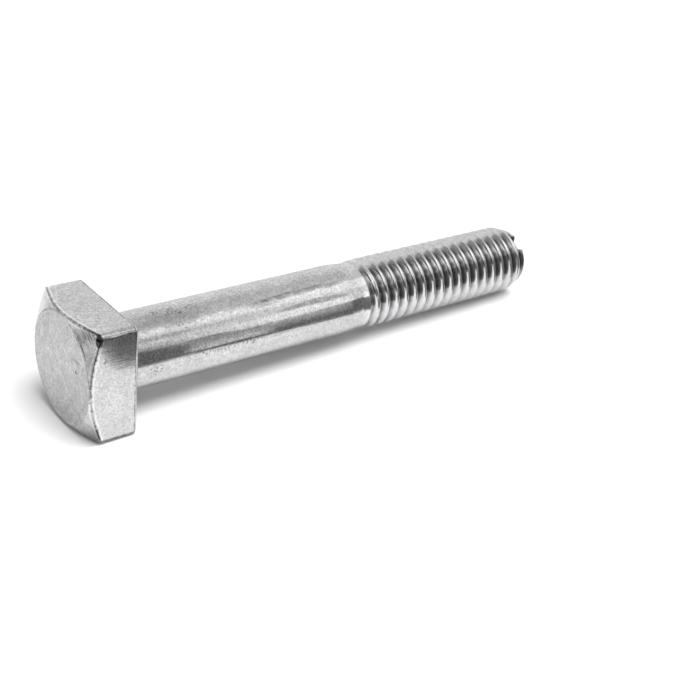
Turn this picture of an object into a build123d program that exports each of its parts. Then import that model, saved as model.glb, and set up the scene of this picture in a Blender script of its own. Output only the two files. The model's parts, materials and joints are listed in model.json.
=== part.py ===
from build123d import *
from math import atan, ceil, cos, degrees, floor, radians, sin, tan
import os

# Driving dimensions, in millimetres and degrees. Stations are measured along the bolt's axis
# from its bearing face, positive towards the tip.

# Square head with a conical chamfer round its top
across_flats = 14.0
head_height = 6.12
head_corner_radius = 0.55
top_circle_inset = 0.25
chamfer_angle = 27.0
bearing_edge_bevel = 0.35

# Raised ring that the heading die leaves round the shank, and the fillet into the shank
ring_width = 1.45
ring_height = 0.25
ring_edge_fillet = 0.15
under_head_fillet = 0.5

# Shank, and the neck between the shank and the rolled thread
length_under_head = 63.5
shank_diameter = 9.3
shank_length = 32.3
neck_cone_length = 2.0
neck_length = 0.7
neck_relief = 0.19
crest_rise_length = 1.6

# Right-hand coarse thread, 3/8 inch with 16 turns to the inch, in its rolled form
thread_diameter = 9.27
thread_pitch = 25.4 / 16
thread_angle = 60.0
depth_per_pitch = 0.6
root_flat_per_pitch = 0.16
full_depth_distance = 1.15
run_out_turns = 1.5
run_out_overtravel = 1.15

# Bevelled flat point
tip_bevel_length = 2.2
tip_bevel_depth = 0.785
tip_edge_fillet = 0.4

# How far the groove cutter stands above the crests, and the blank past the tip, in pitches
groove_overcut = 0.06
blank_overrun = 3

# Radii and stations worked out from them
half_flat = across_flats / 2
top_radius = half_flat - top_circle_inset
shank_radius = shank_diameter / 2
ring_radius = shank_radius + ring_width
crest_radius = thread_diameter / 2
neck_radius = crest_radius - neck_relief
tip_radius = crest_radius - tip_bevel_depth
groove_depth = depth_per_pitch * thread_pitch
root_radius = crest_radius - groove_depth
neck_station = shank_length + neck_cone_length
rise_station = neck_station + neck_length
crest_station = rise_station + crest_rise_length
full_depth_station = rise_station + full_depth_distance
tip_bevel_station = length_under_head - tip_bevel_length

# At rest the bolt lies on the bearing-side edge of a head flat and on its last full crest
root_half_width = root_flat_per_pitch * thread_pitch / 2
flank_reach = groove_depth * tan(radians(thread_angle / 2))
crest_half_width = thread_pitch / 2 - root_half_width - flank_reach
full_crests = floor((tip_bevel_station - crest_half_width - full_depth_station) / thread_pitch - 0.5)
rest_station = full_depth_station + (full_crests + 0.5) * thread_pitch + crest_half_width
rest_tilt = atan((half_flat - crest_radius) / (bearing_edge_bevel + rest_station))
axis_direction = Vector(cos(rest_tilt), 0, -sin(rest_tilt))
up_direction = Vector(sin(rest_tilt), 0, cos(rest_tilt))
axis_height = half_flat * cos(rest_tilt) - bearing_edge_bevel * sin(rest_tilt)

# The origin is on the floor, under the middle of the bolt's length
head_reach = head_height * cos(rest_tilt) + top_radius * sin(rest_tilt)
tip_reach = length_under_head * cos(rest_tilt) + (tip_radius - tip_edge_fillet) * sin(rest_tilt)
bearing_centre = Vector((head_reach - tip_reach) / 2, 0, axis_height)

bolt_axis = Axis(bearing_centre, axis_direction)
bearing_plane = Plane(bearing_centre, x_dir=up_direction, z_dir=axis_direction)
# In this plane local X runs along the bolt's axis, and local Y is the radius, upwards
section_plane = Plane(bearing_centre, x_dir=axis_direction, z_dir=(0, -1, 0))


def cut_groove(start_station, turns, cone_angle=0.0):
    """Cuts the thread groove from a station towards the head, along a cylinder or an opening cone."""
    half_mouth = root_half_width + (groove_depth + groove_overcut) * tan(radians(thread_angle / 2))
    mouth_radius = crest_radius + groove_overcut
    with BuildLine() as groove_path:
        Helix(
            thread_pitch,
            turns * thread_pitch,
            crest_radius,
            center=bearing_centre + axis_direction * start_station,
            direction=-axis_direction,
            cone_angle=cone_angle,
        )
    # The helix starts below the axis, so the groove's profile is drawn there
    with BuildSketch(section_plane) as groove_profile:
        with BuildLine():
            Polyline(
                (start_station - root_half_width, -root_radius),
                (start_station + root_half_width, -root_radius),
                (start_station + half_mouth, -mouth_radius),
                (start_station - half_mouth, -mouth_radius),
                close=True,
            )
        make_face()
    sweep(groove_profile.sketch, path=groove_path.line, is_frenet=True, mode=Mode.SUBTRACT)


with BuildPart() as square_head_bolt:
    # Thread: a plain blank that runs past the tip, with the helical groove rolled into it
    with BuildSketch(bearing_plane.offset(neck_station)):
        Circle(crest_radius)
    extrude(amount=length_under_head + blank_overrun * thread_pitch - neck_station)
    groove_turns = ceil((length_under_head - full_depth_station) / thread_pitch) + 1
    run_out_angle = degrees(atan(groove_depth / (run_out_turns * thread_pitch)))
    cut_groove(full_depth_station + groove_turns * thread_pitch, groove_turns)
    cut_groove(full_depth_station, run_out_turns * run_out_overtravel, run_out_angle)

    # The crests rise from the neck and end in a bevelled flat point
    with BuildSketch(section_plane) as thread_outline:
        with BuildLine():
            Polyline(
                (neck_station, 0),
                (neck_station, neck_radius),
                (rise_station, neck_radius),
                (crest_station, crest_radius),
                (tip_bevel_station, crest_radius),
                (length_under_head, tip_radius),
                (length_under_head, 0),
                close=True,
            )
        make_face()
        tip_corner = thread_outline.vertices().group_by(Axis.X)[-1].sort_by(Axis.Y)[-1]
        fillet(tip_corner, tip_edge_fillet)
    revolve(axis=bolt_axis, mode=Mode.INTERSECT)

    # Square head, drawn up from the bearing face
    with BuildSketch(bearing_plane):
        RectangleRounded(across_flats, across_flats, head_corner_radius)
    extrude(amount=-head_height)
    bearing_face = square_head_bolt.faces().filter_by(bearing_plane).sort_by(bolt_axis)[1]
    chamfer(bearing_face.edges(), bearing_edge_bevel)

    # What lies outside the chamfer's cone is cut from the head's top corners
    with BuildSketch(section_plane):
        with BuildLine():
            cone_rise = (across_flats - top_radius) * tan(radians(chamfer_angle))
            Polyline(
                (-head_height, top_radius),
                (-head_height, across_flats),
                (cone_rise - head_height, across_flats),
                close=True,
            )
        make_face()
    revolve(axis=bolt_axis, mode=Mode.SUBTRACT)

    # Ring, shank and neck cone, from inside the head to the start of the thread
    with BuildSketch(section_plane) as shank_outline:
        with BuildLine():
            Polyline(
                (-head_height / 2, 0),
                (-head_height / 2, ring_radius),
                (ring_height, ring_radius),
                (ring_height, shank_radius),
                (shank_length, shank_radius),
                (neck_station, neck_radius),
                (neck_station, 0),
                close=True,
            )
        make_face()
        shank_corner = shank_outline.vertices().group_by(Axis.X)[1].sort_by(Axis.Y)[0]
        fillet(shank_corner, under_head_fillet)
        ring_corner = shank_outline.vertices().group_by(Axis.Y)[-1].sort_by(Axis.X)[-1]
        fillet(ring_corner, ring_edge_fillet)
    revolve(axis=bolt_axis)

square_head_bolt.part.label = "square_head_bolt"
print("volume in cubic centimetres:", round(square_head_bolt.part.volume / 1000, 3))

os.makedirs("parts", exist_ok=True)
export_step(square_head_bolt.part, "parts/square_head_bolt.step")
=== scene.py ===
import json
import math

import bpy
from mathutils import Matrix, Vector


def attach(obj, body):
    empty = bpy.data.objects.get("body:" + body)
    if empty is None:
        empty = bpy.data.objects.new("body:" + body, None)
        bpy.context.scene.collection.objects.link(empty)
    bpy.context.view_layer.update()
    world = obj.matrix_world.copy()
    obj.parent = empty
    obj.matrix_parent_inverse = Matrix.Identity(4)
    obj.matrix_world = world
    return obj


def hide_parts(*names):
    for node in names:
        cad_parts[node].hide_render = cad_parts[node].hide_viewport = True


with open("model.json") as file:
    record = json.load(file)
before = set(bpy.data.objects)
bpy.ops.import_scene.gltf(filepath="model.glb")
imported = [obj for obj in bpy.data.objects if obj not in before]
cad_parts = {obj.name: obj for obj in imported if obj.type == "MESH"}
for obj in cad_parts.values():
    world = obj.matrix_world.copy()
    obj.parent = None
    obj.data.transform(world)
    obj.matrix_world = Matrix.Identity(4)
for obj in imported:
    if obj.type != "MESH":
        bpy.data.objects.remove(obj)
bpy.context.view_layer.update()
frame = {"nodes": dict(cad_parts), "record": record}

mm = 0.001
print("frame loaded, nodes:", ", ".join(sorted(frame["nodes"])))


class Wire:
    # A socket of a node tree: operators on it add Math nodes, and node() adds any other kind
    def __init__(self, tree, socket=None):
        self.tree = tree
        self.socket = socket

    def node(self, kind, settings=None, values=None, output=0):
        made = self.tree.nodes.new(kind)
        for name, value in (settings or {}).items():
            setattr(made, name, value)
        for name, value in (values or {}).items():
            plug = made.inputs[name]
            if isinstance(value, Wire):
                self.tree.links.new(value.socket, plug)
            elif plug.type == "VECTOR" and isinstance(value, (int, float)):
                plug.default_value = (value, value, value)
            else:
                plug.default_value = value
        return None if output is None else Wire(self.tree, made.outputs[output])

    def reckon(self, operation, *terms):
        isVector = any(isinstance(t, Wire) and t.socket.type == "VECTOR" for t in terms)
        kind = "ShaderNodeVectorMath" if isVector else "ShaderNodeMath"
        return self.node(kind, {"operation": operation}, dict(enumerate(terms)))

    def math(self, operation, *others):
        return self.reckon(operation, self, *others)

    def __add__(self, other):
        return self.math("ADD", other)

    def __radd__(self, other):
        return self.reckon("ADD", other, self)

    def __sub__(self, other):
        return self.math("SUBTRACT", other)

    def __rsub__(self, other):
        return self.reckon("SUBTRACT", other, self)

    def __mul__(self, other):
        return self.math("MULTIPLY", other)

    def __rmul__(self, other):
        return self.reckon("MULTIPLY", other, self)

    def __truediv__(self, other):
        return self.math("DIVIDE", other)

    def __rtruediv__(self, other):
        return self.reckon("DIVIDE", other, self)

    def __neg__(self):
        return self.reckon("SUBTRACT", 0.0, self)

    def __gt__(self, other):
        return self.math("GREATER_THAN", other)

    def __lt__(self, other):
        return self.math("LESS_THAN", other)

    def ramp(self, low, high):
        # 0 below low, 1 above high, and smooth in between
        return self.node(
            "ShaderNodeMapRange",
            {"interpolation_type": "SMOOTHSTEP"},
            {"Value": self, "From Min": low, "From Max": high},
        )

    def fade(self, low, high):
        # 1 below low, 0 above high
        return 1.0 - self.ramp(low, high)

    def dot(self, other):
        settings = {"operation": "DOT_PRODUCT"}
        return self.node("ShaderNodeVectorMath", settings, {0: self, 1: other}, "Value")


# The bolt's own axes, from the mounts that its record gives
mounts = {mount["name"]: mount for mount in frame["record"]["mounts"]}
boltAxis = Vector(mounts["shank"]["axis"]).normalized()
nearSide = Vector((0.0, -1.0, 0.0))
upSide = nearSide.cross(boltAxis)
ringPlace = Vector(mounts["under_head_face"]["pos_m"])
shankMiddle = Vector(mounts["shank"]["pos_m"])
# The bearing face lies behind the ring's face, on the line through the middle of the shank
ringHeight = 0.25
ringCentre = shankMiddle - boltAxis * (shankMiddle - ringPlace).dot(boltAxis)
bearingCentre = ringCentre - boltAxis * ringHeight * mm
shankRadius = mounts["shank"]["dims"]["r_mm"]
crestRadius = mounts["thread"]["dims"]["r_mm"]

# Lengths in millimetres, and stations measured from the bearing face towards the tip. Turns are
# shares of a full turn round the bolt, from its upper side towards its near side.
boltSizes = {
    "halfFlat": 7.0,
    "headHeight": 6.12,
    "headCornerRadius": 0.8,
    "topRadius": 6.75,
    "chamferSlope": math.tan(math.radians(27.0)),
    "bearingBevel": 0.35,
    "ringRadius": shankRadius + 1.45,
    "ringHeight": ringHeight,
    "underHeadFillet": 0.5,
    "shankRadius": shankRadius,
    "shankLength": 32.3,
    "neckConeLength": 2.0,
    "neckRelief": 0.19,
    "neckLength": 0.7,
    "crestRiseLength": 1.6,
    "crestRadius": crestRadius,
    "lengthUnderHead": 63.49,
    "tipBevelLength": 2.2,
    "tipBevelDepth": 0.785,
    "threadPitch": 25.4 / 16,
    "grooveDepth": 0.95,
    "rootHalfWidth": 0.127,
    "flankSlope": 1 / math.tan(math.radians(30.0)),
    "crestSoftness": 0.22,
    "rootSoftness": 0.2,
    "runOutTurns": 1.5,
    "firstGrooveStation": 35.414,
    "firstGrooveTurn": 12 / 360,
    "fullDepthTurn": 180 / 360,
    "notchTurn": 34.5 / 360,
    "notchDepth": 1.65,
    "notchFloorTurn": 0.030,
    "notchEdgeTurn": 0.046,
    "notchStart": 1.0,
    "notchFull": 0.75,
}
# Faces round a quarter of the bolt, those of them that bend round a head corner, and rows of
# faces to a pitch of the thread
quarterColumns = 32
cornerColumns = 6
rowsPerPitch = 28
# Rows on each leg of the outline that bears no thread
plainRows = {
    "headTop": 16,
    "chamfer": 14,
    "headSide": 16,
    "bearingBevel": 5,
    "bearingFace": 6,
    "ringSide": 4,
    "ringFace": 5,
    "fillet": 6,
    "shank": 64,
    "neckCone": 8,
    "endFace": 14,
}
softRows = 2.0  # how far two legs blend into each other
weldDistance = 0.0005 * mm


def roundedSquare(angle, half, rounding):
    # Distance from the axis to a square with rounded corners. The angle is in radians, from the
    # middle of a side.
    fromCorner = angle.math("ABSOLUTE") * -1.0 + math.pi / 4
    side = half / angle.math("COSINE")
    centreReach = (half - rounding) * math.sqrt(2)
    across = centreReach * fromCorner.math("SINE")
    inside = (rounding * rounding - across * across).math("MAXIMUM", 0.0)
    corner = centreReach * fromCorner.math("COSINE") + inside.math("SQRT")
    cornerStart = ((half - rounding) / half).math("ARCTANGENT")
    inCorner = angle.math("ABSOLUTE") > cornerStart
    return inCorner * corner + (1 - inCorner) * side


def buildBoltTree(sizes):
    tree = bpy.data.node_groups.new("squareHeadBolt", "GeometryNodeTree")
    tree.interface.new_socket(name="Geometry", in_out="OUTPUT", socket_type="NodeSocketGeometry")
    for name in sizes:
        tree.interface.new_socket(name=name, in_out="INPUT", socket_type="NodeSocketFloat")
    tree.interface.new_socket(name="finish", in_out="INPUT", socket_type="NodeSocketMaterial")
    bench = Wire(tree)
    given = tree.nodes.new("NodeGroupInput")
    size = {name: Wire(tree, given.outputs[name]) for name in sizes}
    half, flatSteps = size["halfFlat"], quarterColumns - cornerColumns
    neckRadius = size["crestRadius"] - size["neckRelief"]
    neckStation = size["shankLength"] + size["neckConeLength"]
    fullCrestStation = neckStation + size["neckLength"] + size["crestRiseLength"]
    tipBevelStation = size["lengthUnderHead"] - size["tipBevelLength"]

    def threadRows(length):
        return round(length / sizes["threadPitch"] * rowsPerPitch)

    # The legs from the neck to the tip have rows of one width
    crestLength = sizes["lengthUnderHead"] - sizes["tipBevelLength"] - sizes["shankLength"]
    crestLength -= sizes["neckConeLength"] + sizes["neckLength"] + sizes["crestRiseLength"]
    rows = dict(
        plainRows,
        neck=threadRows(sizes["neckLength"]),
        rise=threadRows(sizes["crestRiseLength"]),
        crests=threadRows(crestLength),
        tipBevel=threadRows(sizes["tipBevelLength"]),
    )
    rowCount = sum(rows.values())

    # Columns go round the bolt and crowd together at the four corners of the head
    points = {"Vertices X": 4 * quarterColumns + 1, "Vertices Y": rowCount + 1}
    grid = bench.node("GeometryNodeMeshGrid", None, points)
    index = bench.node("GeometryNodeInputIndex")
    column = (index / (rowCount + 1) + 0.5 / (rowCount + 1)).math("FLOOR")
    row = index - column * (rowCount + 1)
    quarter = (column / quarterColumns + 0.5 / quarterColumns).math("FLOOR")
    step = column - quarter * quarterColumns
    cornerAngle = math.pi / 4 - ((half - size["headCornerRadius"]) / half).math("ARCTANGENT")
    halfCorner = cornerColumns / 2
    cornerShare = (step / halfCorner).math("MINIMUM", 1.0)
    cornerShare += ((step - halfCorner - flatSteps) / halfCorner).math("MAXIMUM", 0.0)
    flatShare = ((step - halfCorner) / flatSteps).math("MAXIMUM", 0.0).math("MINIMUM", 1.0)
    flatAngle = math.pi / 2 - cornerAngle * 2
    fromSide = cornerShare * cornerAngle + flatShare * flatAngle - math.pi / 4
    angle = quarter * (math.pi / 2) + fromSide

    # Rows go from the middle of the head's top, down its side, along the shank and over the tip.
    # Each leg is its rows, its step along the axis and away from it, and how far its rows crowd
    # to its ends.
    outline = roundedSquare(fromSide, half, size["headCornerRadius"])
    inset = size["headCornerRadius"] - size["bearingBevel"]
    bevelOutline = roundedSquare(fromSide, half - size["bearingBevel"], inset)
    coneReach = outline - size["topRadius"]
    coneDrop = coneReach * size["chamferSlope"]
    fillet = size["underHeadFillet"]
    legs = [
        (rows["headTop"], 0.0, size["topRadius"], 0.85),
        (rows["chamfer"], coneDrop, coneReach, 0.6),
        (rows["headSide"], size["headHeight"] - coneDrop - size["bearingBevel"], 0.0, 0.85),
        (rows["bearingBevel"], size["bearingBevel"], bevelOutline - outline, 0.0),
        (rows["bearingFace"], 0.0, size["ringRadius"] - bevelOutline, 0.3),
        (rows["ringSide"], size["ringHeight"], 0.0, 0.0),
        (rows["ringFace"], 0.0, size["shankRadius"] + fillet - size["ringRadius"], 0.3),
        (rows["fillet"], fillet, -fillet, 0.0),
        (rows["shank"], size["shankLength"] - size["ringHeight"] - fillet, 0.0, 0.7),
        (rows["neckCone"], size["neckConeLength"], neckRadius - size["shankRadius"], 0.0),
        (rows["neck"], size["neckLength"], 0.0, 0.0),
        (rows["rise"], size["crestRiseLength"], size["neckRelief"], 0.0),
        (rows["crests"], tipBevelStation - fullCrestStation, 0.0, 0.0),
        (rows["tipBevel"], size["tipBevelLength"], -size["tipBevelDepth"], 0.0),
        (rows["endFace"], 0.0, size["tipBevelDepth"] - size["crestRadius"], 0.9),
    ]
    station, reach = -size["headHeight"], 0.0
    firstRow = 0
    for steps, along, away, crowding in legs:
        done = (row - firstRow).math("SMOOTH_MAX", 0.0, softRows)
        share = done.math("SMOOTH_MIN", steps, softRows) / steps
        if crowding:
            share -= (share * math.tau).math("SINE") * (crowding / math.tau)
        station = share * along + station
        reach = share * away + reach
        firstRow += steps

    # The thread's groove climbs one pitch each turn, and comes up to the surface at its head end
    turn = angle / math.tau
    phase = (station - size["firstGrooveStation"]) / size["threadPitch"]
    phase = phase - turn + size["firstGrooveTurn"]
    grooveNumber = (phase + 0.5).math("FLOOR")
    fromGroove = (phase - grooveNumber).math("ABSOLUTE") * size["threadPitch"]
    turnsIn = grooveNumber + turn - size["fullDepthTurn"]
    depthShare = (turnsIn / size["runOutTurns"] + 1.0).math("MINIMUM", 1.0)
    rootRadius = size["crestRadius"] - depthShare * size["grooveDepth"]
    flank = (fromGroove - size["rootHalfWidth"]) * size["flankSlope"] + rootRadius
    groove = flank.math("SMOOTH_MAX", rootRadius, size["rootSoftness"])
    inThread = station > size["shankLength"]
    threaded = reach.math("SMOOTH_MIN", groove, size["crestSoftness"])
    reach = inThread * threaded + (1 - inThread) * reach
    # The groove breaks out through the point's edge
    fromNotch = (turn - size["notchTurn"]).math("ABSOLUTE")
    notch = fromNotch.fade(size["notchFloorTurn"], size["notchEdgeTurn"])
    tip = size["lengthUnderHead"]
    notch *= station.ramp(tip - size["notchStart"], tip - size["notchFull"])
    beyondNotch = (reach - size["crestRadius"] + size["notchDepth"]).math("MAXIMUM", 0.0)
    # The first and last rows shrink to one point each, so that both ends are closed
    reach = (reach - notch * beyondNotch).math("MAXIMUM", 0.0)
    reach = reach * (row > 0.5) * (row < rowCount - 0.5)

    def fixed(vector):
        return bench.node("ShaderNodeCombineXYZ", None, dict(enumerate(vector)))

    outward = fixed(upSide) * angle.math("COSINE") + fixed(nearSide) * angle.math("SINE")
    place = fixed(boltAxis) * (station * mm) + outward * (reach * mm) + fixed(bearingCentre)
    moved = bench.node("GeometryNodeSetPosition", None, {"Geometry": grid, "Position": place})
    weld = {"Geometry": moved, "Distance": weldDistance}
    closed = bench.node("GeometryNodeMergeByDistance", None, weld)
    smooth = bench.node("GeometryNodeSetShadeSmooth", None, {"Geometry": closed})
    real = bench.node("GeometryNodeRealizeInstances", None, {"Geometry": smooth})
    finish = Wire(tree, given.outputs["finish"])
    finished = bench.node("GeometryNodeSetMaterial", None, {"Geometry": real, "Material": finish})
    result = tree.nodes.new("NodeGroupOutput")
    tree.links.new(finished.socket, result.inputs["Geometry"])
    return tree


def meshFromTree(name, tree, values, finish):
    # Runs a tree on an empty mesh and keeps the result as a plain mesh
    piece = bpy.data.objects.new(name, bpy.data.meshes.new(name))
    bpy.context.scene.collection.objects.link(piece)
    modifier = piece.modifiers.new("form", "NODES")
    modifier.node_group = tree
    for item in tree.interface.items_tree:
        if item.in_out == "INPUT":
            modifier[item.identifier] = finish if item.name == "finish" else values[item.name]
    settled = piece.evaluated_get(bpy.context.evaluated_depsgraph_get())
    mesh = bpy.data.meshes.new_from_object(settled)
    piece.modifiers.remove(modifier)
    piece.data = mesh
    mesh.name = name
    return piece


zincLook = {
    "colour": 0.72,
    "faceColour": 0.55,
    "threadColour": 0.87,
    "blueGain": 1.01,
    "roughness": 0.15,
    "flatRoughness": 0.12,
    "faceRoughness": 0.28,
    "threadRoughness": 0.12,
    "roughnessDepth": 0.1,
    "darkest": 0.88,
    "grainSize": 0.28,
    "grainDepth": 0.9,
    "mottleSize": 0.8,
    "mottleDepth": 0.45,
    "cloudScale": 0.35,
    "cloudDepth": 0.3,
    "lineSpacing": 0.22,
    "lineStretch": 0.06,
    "waveScale": 0.5,
    "gapScale": 2.2,
    "gapRange": (0.40, 0.58),
    "lineRelief": 0.006,
    "mottleRelief": 0.006,
    "waveRelief": 0.06,
    "cornerRelief": 0.12,
    "turningRelief": 0.006,
    "turningScale": 5.0,
    "turningWaver": 0.03,
    "threadGrainLoss": 0.5,
    "threadMottleLoss": 0.4,
    "faceMottleGain": 0.6,
    "threadReliefLoss": 0.3,
}
# Where one finish passes into the next, in millimetres past the place that is named
finishEnds = {
    "bearingFace": (-0.1, 0.1),
    "headTop": (0.02, 0.08),
    "shankEnd": (1.6, 2.6),
    "chamfer": (0.05, 0.12),
    "chamferRelief": (0.03, 0.1),
    "cornerRelief": (6.2, 6.5),
}
# Painted shade in the thread's grooves: by radius, and by degrees round from the top
grooveShadeLook = {
    "shade": 0.6,
    "radii": (3.85, 4.45),
    "start": (6.0, 20.0),
    "end": (95.0, 125.0),
    "endShare": 0.5,
}
# Lines on the head's edges, with a painted highlight beside the chamfer's edge and painted shade
# on the head's lower near corner and the chamfer's lower side. A fade is the pair of distances
# between which a line ends, and a waver is how far its place wanders.
edgeLook = {
    "shade": 0.6,
    "gapShare": 0.7,
    "ridgeFade": (0.05, 0.22),
    "ridgeWaver": 0.35,
    "paintedHighlightOffset": 0.32,
    "paintedHighlightFade": (0.04, 0.16),
    "paintedHighlightGain": 0.3,
    "bevelOffset": 0.12,
    "bevelFade": (0.03, 0.12),
    "seamReach": 6.42,
    "seamWaver": 0.5,
    "seamFade": (0.03, 0.13),
    "seamSide": (0.0, 0.2),
    "lowEdgeDegree": 135.0,
    "lowEdgeFade": (1.0, 3.0),
    "lowEdgeShade": 0.55,
    "lowConeDegree": 150.0,
    "lowConeSpread": (45.0, 15.0),
    "lowConeRise": (0.1, 1.2),
    "lowConeShade": 0.5,
}
# The dark spot on the head's near top corner, as station, near distance and up distance
cornerSpot = {
    "centre": (-4.86, 6.72, 6.35),
    "halfSizes": (0.36, 0.5, 0.95),
    "fade": (0.75, 1.15),
    "waver": 0.5,
    "shade": 0.88,
}
# How the marks in the tables below end and break up
markLook = {
    "pitScale": 4.2,
    "pitRange": (0.60, 0.68),
    "pitFade": (0.6, 1.1),
    "pitShade": 0.55,
    "patchWaver": 1.6,
    "patchFade": (0.55, 1.15),
    "patchRange": (0.3, 0.62),
    "patchGapShare": 0.7,
    "rimWaver": 0.3,
    "rimFade": (0.5, 1.2),
    "rimGapShare": 0.65,
    "scratchFade": (0.5, 1.2),
}
# Dark patches on the shank: station, degrees round from the top, half lengths both ways, and
# how dark. The streaks and the lines at the edge and foot of the mirrored dark band are painted
# reflection; the palm and the blot are plain dark patches.
shankDarkPatches = {
    "palm": (6.5, 27, 4.6, 15, 0.28),
    "longStreak": (25.0, 33, 8.0, 5.0, 0.5),
    "blot": (19.5, 38, 3.0, 6.0, 0.42),
    "lowStreak": (26.5, 54, 5.8, 4.5, 0.48),
    "bandEdge": (9.3, 66, 5.0, 1.0, 0.42),
    "bandFoot": (14.3, 84.5, 5.4, 1.6, 0.6),
}
# Pitted patches: station, degrees round from the top, half lengths both ways
pitPatches = {
    "topPits": (7.5, 12, 4.0, 11),
    "sidePits": (8.0, 42, 1.2, 6),
    "besideHead": (3.8, 98, 1.6, 9),
    "underBand": (14.0, 90, 8.0, 5),
    "headCorner": (-4.3, 60, 0.5, 4),
}
# Concentric marks near the rim of the head's top: radius, degrees, half width and half turn,
# and how dark
rimMarks = {
    "rightArc": (7.02, 42, 0.10, 17, 0.75),
    "rightArcInner": (6.68, 38, 0.08, 11, 0.6),
    "lowArc": (6.1, 113, 0.11, 7, 0.6),
    "lowArcUpper": (6.2, 92, 0.09, 8, 0.5),
    "leftArc": (6.72, -31, 0.09, 24, 0.55),
    "leftArcInner": (6.25, -34, 0.07, 18, 0.35),
}
# Straight scratches on the head's top: two ends as near and up distances, half width, and how
# dark
scratches = {
    "diagonal": ((2.4, 2.6), (5.3, 2.75), 0.08, 0.6),
    "nick": ((3.55, 1.45), (3.95, 1.0), 0.18, 0.85),
    "nickSide": ((5.2, 2.7), (5.4, 2.1), 0.11, 0.6),
    "faint": ((0.86, 3.4), (2.1, 4.9), 0.07, 0.4),
    "faintLow": ((4.2, -3.6), (5.0, -4.4), 0.07, 0.4),
    "dimple": ((1.5, 6.0), (1.75, 5.8), 0.16, 0.5),
    "dimpleLeft": ((-4.6, 5.9), (-4.3, 6.0), 0.15, 0.6),
}


def emptyMaterial(name):
    material = bpy.data.materials.new(name)
    material.use_nodes = True
    material.node_tree.nodes.clear()
    return material, Wire(material.node_tree)


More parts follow.
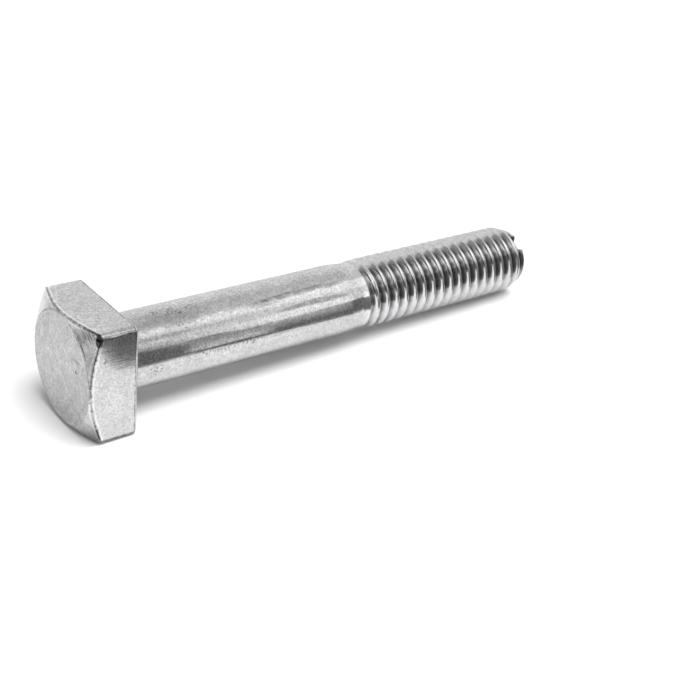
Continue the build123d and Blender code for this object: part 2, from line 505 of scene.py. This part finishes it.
def buildZinc(look, sizes):
    material, bench = emptyMaterial("zincPlate")
    place = bench.node("ShaderNodeTexCoord", None, None, "Object") / mm
    place -= tuple(bearingCentre / mm)
    station = place.dot(tuple(boltAxis))
    above, beside = place.dot(tuple(upSide)), place.dot(tuple(nearSide))
    radius = (above * above + beside * beside).math("SQRT")
    degree = beside.math("ARCTAN2", above) * math.degrees(1)

    def mix(low, high, share):
        return share * high + (1.0 - share) * low

    def noise(vector, scale, detail=2.0, roughness=0.5):
        values = {"Vector": vector, "Scale": scale, "Detail": detail, "Roughness": roughness}
        return bench.node("ShaderNodeTexNoise", None, values)

    def broken(pattern, share):
        # What is left of a line when a share of it is lost where the pattern is 0
        return pattern * share + (1.0 - share)

    def oval(across, along, fade):
        # 1 in the middle and 0 outside, with distances given in half lengths
        return (across * across + along * along).math("SQRT").fade(*fade)

    # Where each finish lies
    top, shankEnd = -sizes["headHeight"], sizes["shankLength"]
    headSide = station.fade(*finishEnds["bearingFace"])
    onFace = station.fade(*(top + depth for depth in finishEnds["headTop"]))
    onThread = station.ramp(*(shankEnd + depth for depth in finishEnds["shankEnd"]))
    onShank = (1.0 - headSide) * (1.0 - onThread)
    plain = 1.0 - onThread
    coneStation = (radius - sizes["topRadius"]) * sizes["chamferSlope"] - sizes["headHeight"]
    belowCone = station - coneStation
    onTop = onFace.math("MAXIMUM", belowCone.fade(*finishEnds["chamfer"])) * headSide

    # Grain and mottling everywhere, and drawing lines along the bolt
    grain = noise(place, 1 / look["grainSize"], 1.0)
    mottle = noise(place, 1 / look["mottleSize"], 3.0, 0.6)
    cloud = noise(place, look["cloudScale"], 2.0)
    drawnPlace = {0: station * look["lineStretch"], 1: above, 2: beside}
    drawn = bench.node("ShaderNodeCombineXYZ", None, drawnPlace)
    lines = noise(drawn, 1 / look["lineSpacing"], 2.0, 0.6)
    wave = noise(drawn, look["waveScale"], 1.0)
    gaps = noise(place, look["gapScale"], 2.0).ramp(*look["gapRange"])

    # The uneven dark line where the chamfer meets the flats, with a painted highlight beside it,
    # and the dark lines along the bearing edge's bevel and the head's side edges
    edge = edgeLook
    aboveSize, besideSize = above.math("ABSOLUTE"), beside.math("ABSOLUTE")
    flatReach = aboveSize.math("MAXIMUM", besideSize)
    sideReach = aboveSize.math("MINIMUM", besideSize)
    fromRidge = belowCone.math("MAXIMUM", sizes["halfFlat"] - flatReach)
    unevenRidge = fromRidge + (mottle - 0.5) * edge["ridgeWaver"]
    ridge = unevenRidge.fade(*edge["ridgeFade"]) * broken(gaps, edge["gapShare"]) * (1.0 - onFace)
    # A painted highlight: a bright line beside the chamfer's edge
    shine = (unevenRidge - edge["paintedHighlightOffset"]).math("ABSOLUTE").fade(*edge["paintedHighlightFade"])
    shine = shine * headSide * (1.0 - onFace) * edge["paintedHighlightGain"]
    fromBevel = (station + sizes["bearingBevel"] + edge["bevelOffset"]).math("ABSOLUTE")
    bevel = fromBevel.fade(*edge["bevelFade"]) * headSide * broken(gaps, edge["gapShare"])
    onNearFlats = (besideSize - aboveSize).ramp(*edge["seamSide"])
    fromSeam = sideReach + (cloud - 0.5) * edge["seamWaver"] - edge["seamReach"]
    seam = fromSeam.math("ABSOLUTE").fade(*edge["seamFade"])
    seam *= headSide * onNearFlats * (1.0 - onFace) * gaps
    marksAndPaintedShade = ridge.math("MAXIMUM", bevel).math("MAXIMUM", seam) * edge["shade"]
    # Painted shade along the head's lower near corner, next to the floor
    lowEdgePaintedShade = (degree - edge["lowEdgeDegree"]).math("ABSOLUTE").fade(*edge["lowEdgeFade"])
    marksAndPaintedShade += lowEdgePaintedShade * headSide * (1.0 - onTop) * edge["lowEdgeShade"]

    # The chamfer's lower side with a painted reflection of the shadowed floor beneath, and the
    # spot on the near top corner
    fromLow = (degree.math("ABSOLUTE") - edge["lowConeDegree"]).math("ABSOLUTE")
    lowConePaintedShade = fromLow.ramp(*edge["lowConeSpread"]) * onTop * (1.0 - onFace)
    lowRise = (station + sizes["headHeight"]).ramp(*edge["lowConeRise"])
    marksAndPaintedShade += lowConePaintedShade * lowRise * edge["lowConeShade"]
    spots = zip((station, beside, above), cornerSpot["centre"], cornerSpot["halfSizes"])
    fromSpot = [(distance - centre) / halfSize for distance, centre, halfSize in spots]
    fromSpot = sum(share * share for share in fromSpot).math("SQRT")
    fromSpot += (mottle - 0.5) * cornerSpot["waver"]
    marksAndPaintedShade += fromSpot.fade(*cornerSpot["fade"]) * cornerSpot["shade"]

    # Pits, dark patches on the shank that are partly painted reflection, rim marks and scratches
    markSettings = markLook
    pits = noise(place, markSettings["pitScale"], 0.0).ramp(*markSettings["pitRange"])
    for pitStation, pitDegree, halfLength, halfTurn in pitPatches.values():
        across, along = (degree - pitDegree) / halfTurn, (station - pitStation) / halfLength
        marksAndPaintedShade += pits * oval(across, along, markSettings["pitFade"]) * plain * markSettings["pitShade"]
    # Dark patches on the shank; the streaks and band lines among them are painted reflection
    patchBreakUp = broken(mottle.ramp(*markSettings["patchRange"]), markSettings["patchGapShare"])
    for patchStation, patchDegree, halfLength, halfTurn, shade in shankDarkPatches.values():
        across = (degree - patchDegree) / halfTurn + (cloud - 0.5) * markSettings["patchWaver"]
        along = (station - patchStation) / halfLength
        marksAndPaintedShade += oval(across, along, markSettings["patchFade"]) * onShank * patchBreakUp * shade
    for markRadius, markDegree, halfWidth, halfTurn, shade in rimMarks.values():
        across = (radius - markRadius + (cloud - 0.5) * markSettings["rimWaver"]) / halfWidth
        along = (degree - markDegree) / halfTurn
        inside = oval(across, along, markSettings["rimFade"])
        marksAndPaintedShade += inside * onTop * broken(gaps, markSettings["rimGapShare"]) * shade
    for start, end, halfWidth, shade in scratches.values():
        lineLength = math.dist(start, end)
        way = ((end[0] - start[0]) / lineLength, (end[1] - start[1]) / lineLength)
        fromStart = (beside - start[0], above - start[1])
        along = fromStart[0] * way[0] + fromStart[1] * way[1]
        along = (along - lineLength / 2) / (lineLength / 2)
        across = (fromStart[0] * way[1] - fromStart[1] * way[0]) / halfWidth
        marksAndPaintedShade += oval(across, along, markSettings["scratchFade"]) * onFace * shade

    colour = mix(look["colour"], look["faceColour"], onFace)
    colour = mix(colour, look["threadColour"], onThread)
    grainShare = 1.0 - onThread * look["threadGrainLoss"]
    colour *= 1.0 + (grain - 0.5) * look["grainDepth"] * grainShare
    mottleShare = 1.0 - onThread * look["threadMottleLoss"] + onFace * look["faceMottleGain"]
    colour *= 1.0 + (mottle - 0.5) * look["mottleDepth"] * mottleShare
    colour *= 1.0 + (cloud - 0.5) * look["cloudDepth"] * plain
    # Marks and painted shade darken the colour, and the painted highlight brightens it
    colour *= (1.0 + shine) * (1.0 - marksAndPaintedShade.math("MINIMUM", look["darkest"]))
    # Painted shade in the thread's grooves, starting a little below the top and halving towards
    # the underside
    paintedGrooveShade = radius.fade(*grooveShadeLook["radii"]) * onThread
    paintedGrooveShadeEnd = 1.0 - degree.ramp(*grooveShadeLook["end"]) * grooveShadeLook["endShare"]
    paintedGrooveShade *= degree.ramp(*grooveShadeLook["start"]) * paintedGrooveShadeEnd
    colour *= 1.0 - paintedGrooveShade * grooveShadeLook["shade"]
    levels = {0: colour, 1: colour, 2: colour * look["blueGain"]}
    paint = bench.node("ShaderNodeCombineColor", None, levels)
    roughness = mix(look["roughness"], look["flatRoughness"], headSide)
    roughness = mix(roughness, look["faceRoughness"], onFace)
    roughness = mix(roughness, look["threadRoughness"], onThread)
    roughness += (cloud - 0.5) * look["roughnessDepth"] * plain

    # Relief in millimetres: mottling, softened side edges, drawing lines, long waves, and the
    # turned rings on the chamfer
    height = (mottle - 0.5) * look["mottleRelief"] * (1.0 - onThread * look["threadReliefLoss"])
    nearEdge = sideReach.ramp(*finishEnds["cornerRelief"])
    height += (cloud - 0.5) * nearEdge * headSide * look["cornerRelief"]
    height += (lines - 0.5) * look["lineRelief"] * (1.0 - onFace) * plain
    height += (wave - 0.5) * look["waveRelief"] * onShank
    turned = {0: radius * look["turningScale"], 1: degree * look["turningWaver"]}
    ringPlaces = bench.node("ShaderNodeCombineXYZ", None, turned)
    rings = (noise(ringPlaces, 1.0, 2.0) - 0.5) * look["turningRelief"]
    height += rings * headSide * (1.0 - onFace) * belowCone.fade(*finishEnds["chamferRelief"])
    relief = {"Height": height, "Distance": mm, "Strength": 1.0}
    bump = bench.node("ShaderNodeBump", None, relief)
    shader = bench.node("ShaderNodeBsdfPrincipled", None, {
        "Metallic": 1.0, "Base Color": paint, "Roughness": roughness, "Normal": bump,
    })
    bench.node("ShaderNodeOutputMaterial", None, {"Surface": shader}, None)
    return material


zinc = buildZinc(zincLook, boltSizes)
bolt = meshFromTree("squareHeadBolt", buildBoltTree(boltSizes), boltSizes, zinc)
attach(bolt, "root")
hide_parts("square_head_bolt")
print("bolt:", len(bolt.data.polygons), "faces")

# Distances in millimetres; a pair is where something starts to change and where it has changed
floorLook = {
    "reach": 2000.0,
    "colour": 0.8,
    "mirroredShare": 0.8,
    "bandEdge": (3.2, 6.2),
    "bandStart": (-1.4, 1.2),
    "bandSlant": 0.05,
    "bandShade": 0.17,
    "headPlace": (-30.0, -7.0),
    "sectorDegree": -125.0,
    "sectorSpread": (18.0, 58.0),
    "sectorStart": (14.0, 24.0),
    "sectorShade": 0.12,
    "farStart": (40.0, 130.0),
    "farShade": 0.62,
    "frontTipSide": (0.5, 3.5),
    "frontHeadSide": (-9.0, -4.0),
    "frontBack": (-1.0, 1.0),
    "frontPaintedLight": 0.7,
}


def buildFloorPaint(look, beside):
    # What the camera sees is plain. What the metal mirrors has painted shade: a painted shadow
    # along the card, a dark sector past the head, and a darker distance.
    material, bench = emptyMaterial("floorPaint")
    spot = bench.node("ShaderNodeTexCoord", None, None, "Object")
    along, start = beside["along"], beside["start"]
    across = Vector((-along.y, along.x, 0.0))
    distance = (spot.dot(tuple(along)) - start.dot(along)) / mm
    fromCard = (spot.dot(tuple(across)) - start.dot(across)) / mm - distance * look["bandSlant"]
    # A painted shadow along the card, seen only in the metal
    cardShadowBand = fromCard.fade(*look["bandEdge"]) * distance.ramp(*look["bandStart"])
    parts = [bench.node("ShaderNodeSeparateXYZ", None, {0: spot}, n) / mm for n in range(2)]
    tipward, farward = (parts[n] - look["headPlace"][n] for n in range(2))
    azimuth = tipward.math("ARCTAN2", farward) * math.degrees(1)
    fromHead = (tipward * tipward + farward * farward).math("SQRT")
    shadedSector = (azimuth - look["sectorDegree"]).math("ABSOLUTE").fade(*look["sectorSpread"])
    shadedSector *= fromHead.ramp(*look["sectorStart"])
    farness = bench.node("ShaderNodeVectorMath", {"operation": "LENGTH"}, {0: spot}, "Value") / mm
    mirrored = bench.node("ShaderNodeLightPath", None, None, "Is Glossy Ray")
    level = 1.0 - cardShadowBand * (1.0 - look["bandShade"])
    level *= 1.0 - shadedSector * (1.0 - look["sectorShade"])
    level *= 1.0 - farness.ramp(*look["farStart"]) * (1.0 - look["farShade"])
    shade = (1.0 - mirrored + mirrored * level * look["mirroredShare"]) * look["colour"]
    paint = bench.node("ShaderNodeCombineColor", None, {0: shade, 1: shade, 2: shade})
    diffuse = bench.node("ShaderNodeBsdfDiffuse", None, {"Color": paint})
    # Painted light: a glow on the floor in front of the head keeps it white up to its foot
    front = tipward.fade(*look["frontTipSide"]) * tipward.ramp(*look["frontHeadSide"])
    front *= farward.fade(*look["frontBack"])
    strength = front * (1.0 - mirrored) * look["frontPaintedLight"]
    paintedFloorLight = bench.node("ShaderNodeEmission", None, {"Strength": strength})
    both = bench.node("ShaderNodeAddShader", None, {0: diffuse, 1: paintedFloorLight})
    bench.node("ShaderNodeOutputMaterial", None, {"Surface": both}, None)
    return material


def stagePlane(name, corners, material):
    mesh = bpy.data.meshes.new(name)
    mesh.from_pydata(corners, [], [tuple(range(len(corners)))])
    mesh.materials.append(material)
    plane = bpy.data.objects.new(name, mesh)
    bpy.context.scene.collection.objects.link(plane)
    return plane


# The studio as the metal mirrors it: soft flags and lamps on plain walls. Each is azimuth and
# elevation in degrees, half its width and height, its softness and its level.
studioFlags = {
    "leftWall": (-40, 12, 38, 40, 0.4, 0.66),
    "rightWall": (22, 4, 32, 16, 0.5, 0.82),
    "highWall": (20, 66, 96, 26, 0.25, 0.57),
    "ceiling": (26, 90, 114, 27, 0.1, 0.25),
    "backLight": (70, 2, 17, 13, 0.3, 1.05),
    "mainLamp": (136, 43, 14, 10, 0.25, 0.84),
    "crestLamp": (112, 44, 16, 10, 0.25, 1.05),
    "lowLamp": (142, 14, 8, 10, 0.2, 1.1),
    "highLamp": (190, 62, 45, 14, 0.2, 0.85),
    "sideLamp": (-121, 43, 27, 18, 0.2, 1.05),
    "farWall": (-172, 12, 38, 26, 0.1, 0.12),
    "farWallTop": (154, 44, 16, 9, 0.3, 0.3),
    "highFlag": (-77, 40, 19, 22, 0.2, 0.25),
    "leftFlag": (-114, 0, 27, 15, 0.2, 0.03),
    "lowFlag": (-82, 14, 17, 10, 0.2, 0.02),
}
# The level of the walls, and what lights the floor: a weak fill, and a soft lamp overhead with
# the cosines at its edge
roomLight = {
    "walls": 0.76,
    "fill": 0.62,
    "lamp": 10.5,
    "lampWay": Vector((0.16, -0.34, 1.0)).normalized(),
    "lampEdge": (0.925, 0.975),
}


def buildStudio(flags, light):
    world = bpy.data.worlds.new("studio")
    bpy.context.scene.world = world
    world.use_nodes = True
    world.node_tree.nodes.clear()
    bench = Wire(world.node_tree)
    way = bench.node("ShaderNodeTexCoord", None, None, "Generated")
    parts = [bench.node("ShaderNodeSeparateXYZ", None, {0: way}, n) for n in range(3)]
    azimuth = parts[0].math("ARCTAN2", parts[1]) * math.degrees(1)
    elevation = parts[2].math("ARCSINE") * math.degrees(1)
    level = light["walls"]
    for place, height, halfWidth, halfHeight, softness, shade in flags.values():
        across = (azimuth - place).math("WRAP", 180.0, -180.0) / halfWidth
        above = (elevation - height) / halfHeight
        across, above = across * across, above * above
        outward = (across * across + above * above).math("SQRT").math("SQRT")
        inside = outward.fade(1 - softness, 1 + softness)
        level = inside * shade + (1.0 - inside) * level
    toCamera = bench.node("ShaderNodeLightPath", None, None, "Is Camera Ray")
    mirrored = bench.node("ShaderNodeLightPath", None, None, "Is Glossy Ray")
    lamp = way.dot(tuple(light["lampWay"])).ramp(*light["lampEdge"]) * light["lamp"]
    room = light["fill"] + lamp
    room = toCamera + (1.0 - toCamera) * room
    level = mirrored * level + (1.0 - mirrored) * room
    shine = {"Color": (1, 1, 1, 1), "Strength": level}
    background = bench.node("ShaderNodeBackground", None, shine)
    bench.node("ShaderNodeOutputWorld", None, {"Surface": background}, None)


buildStudio(studioFlags, roomLight)
print("studio:", len(studioFlags), "flags and lamps")

# A plain card beside the bolt, seen only in the metal
cardPlace = {
    "start": Vector((-23.4, -25.9, 0.0)) * mm,
    "along": Vector((0.985, 0.172, 0.0)),
    "lead": 3.0,
    "length": 75.0,
    "height": 16.0,
}
# Its levels. A start is the pair of distances along it between which a stretch begins, and the
# other pairs are heights.
cardLook = {
    "softStart": (-1.5, 1.0),
    "middleStart": (13.0, 13.8),
    "stepStart": (19.8, 20.4),
    "farStart": (24.6, 25.4),
    "threadStart": (35.0, 42.0),
    "endStart": (58.0, 62.0),
    "nearLevel": 0.14,
    "nearLiftStart": (9.0, 13.0),
    "nearLiftHeights": (9.0, 15.0),
    "nearLift": 0.4,
    "middleLevel": 0.40,
    "footHeights": (0.6, 1.6),
    "footLift": 0.22,
    "beltHeights": (4.6, 5.6),
    "beltDrop": 0.2,
    "browHeights": (8.0, 9.0),
    "browDrop": 0.08,
    "farLevel": 0.15,
    "farHeights": (2.0, 10.0),
    "farLift": 0.33,
    "threadLevel": 0.14,
    "top": 15.0,
    "middleTopDrop": 1.6,
    "stepTopDrop": 2.2,
    "farTopDrop": 0.9,
    "endTopLift": 4.7,
    "topSoftness": (-0.3, 0.3),
}


def buildCardPaint(place, look):
    material, bench = emptyMaterial("cardPaint")
    spot = bench.node("ShaderNodeTexCoord", None, None, "Object")
    height = bench.node("ShaderNodeSeparateXYZ", None, {0: spot}, "Z") / mm
    start, along = place["start"], place["along"]
    distance = (spot.dot(tuple(along)) - start.dot(along)) / mm
    middle, far = distance.ramp(*look["middleStart"]), distance.ramp(*look["farStart"])
    thread, end = distance.ramp(*look["threadStart"]), distance.ramp(*look["endStart"])
    nearLift = height.ramp(*look["nearLiftHeights"]) * distance.ramp(*look["nearLiftStart"])
    nearLevel = look["nearLevel"] + nearLift * look["nearLift"]
    middleLevel = look["middleLevel"] + height.ramp(*look["footHeights"]) * look["footLift"]
    middleLevel -= height.ramp(*look["beltHeights"]) * look["beltDrop"]
    middleLevel -= height.ramp(*look["browHeights"]) * look["browDrop"]
    farLevel = look["farLevel"] + height.ramp(*look["farHeights"]) * look["farLift"]
    level = nearLevel + middle * (middleLevel - nearLevel)
    level += far * (farLevel - level)
    level += thread * (look["threadLevel"] - level)
    top = look["top"] - middle * look["middleTopDrop"]
    top -= distance.ramp(*look["stepStart"]) * look["stepTopDrop"]
    top = top - far * look["farTopDrop"] + end * look["endTopLift"]
    cover = (height - top).fade(*look["topSoftness"]) * distance.ramp(*look["softStart"])
    shine = bench.node("ShaderNodeEmission", None, {"Strength": level})
    clear = bench.node("ShaderNodeBsdfTransparent")
    both = bench.node("ShaderNodeMixShader", None, {0: cover, 1: clear, 2: shine})
    bench.node("ShaderNodeOutputMaterial", None, {"Surface": both}, None)
    return material


cardStart = cardPlace["start"] - cardPlace["along"] * cardPlace["lead"] * mm
cardEnd = cardPlace["start"] + cardPlace["along"] * cardPlace["length"] * mm
cardRise = Vector((0.0, 0.0, cardPlace["height"] * mm))
cardCorners = [tuple(c) for c in (cardStart, cardEnd, cardEnd + cardRise, cardStart + cardRise)]
card = stagePlane("card", cardCorners, buildCardPaint(cardPlace, cardLook))
card.visible_camera = False
card.visible_shadow = False
card.visible_diffuse = False

reach = floorLook["reach"] * mm
floorCorners = [(-reach, -reach, 0), (reach, -reach, 0), (reach, reach, 0), (-reach, reach, 0)]
stagePlane("floor", floorCorners, buildFloorPaint(floorLook, cardPlace))
print("card and floor placed")

cameraSetting = {
    "aim": Vector((-1.41, -10.62, 5.0)) * mm,
    "distance": 156.8 * mm,
    "azimuth": math.radians(-39.54),
    "elevation": math.radians(29.99),
    "roll": math.radians(4.63),
    "lens": 65.7,
    "sensor": 36.0,
    "nearest": 1 * mm,
}


def placeCamera(setting):
    camera = bpy.data.objects.new("camera", bpy.data.cameras.new("camera"))
    bpy.context.scene.collection.objects.link(camera)
    azimuth, elevation = setting["azimuth"], setting["elevation"]
    back = Vector((
        math.sin(azimuth) * math.cos(elevation),
        -math.cos(azimuth) * math.cos(elevation),
        math.sin(elevation),
    ))
    turned = back.to_track_quat("Z", "Y").to_matrix().to_4x4()
    rolled = turned @ Matrix.Rotation(setting["roll"], 4, "Z")
    camera.matrix_world = Matrix.Translation(setting["aim"] + back * setting["distance"]) @ rolled
    camera.data.sensor_width = setting["sensor"]
    camera.data.lens = setting["lens"]
    camera.data.clip_start = setting["nearest"]
    bpy.context.scene.camera = camera


placeCamera(cameraSetting)
bpy.context.scene.view_settings.view_transform = "Standard"
print("camera placed")
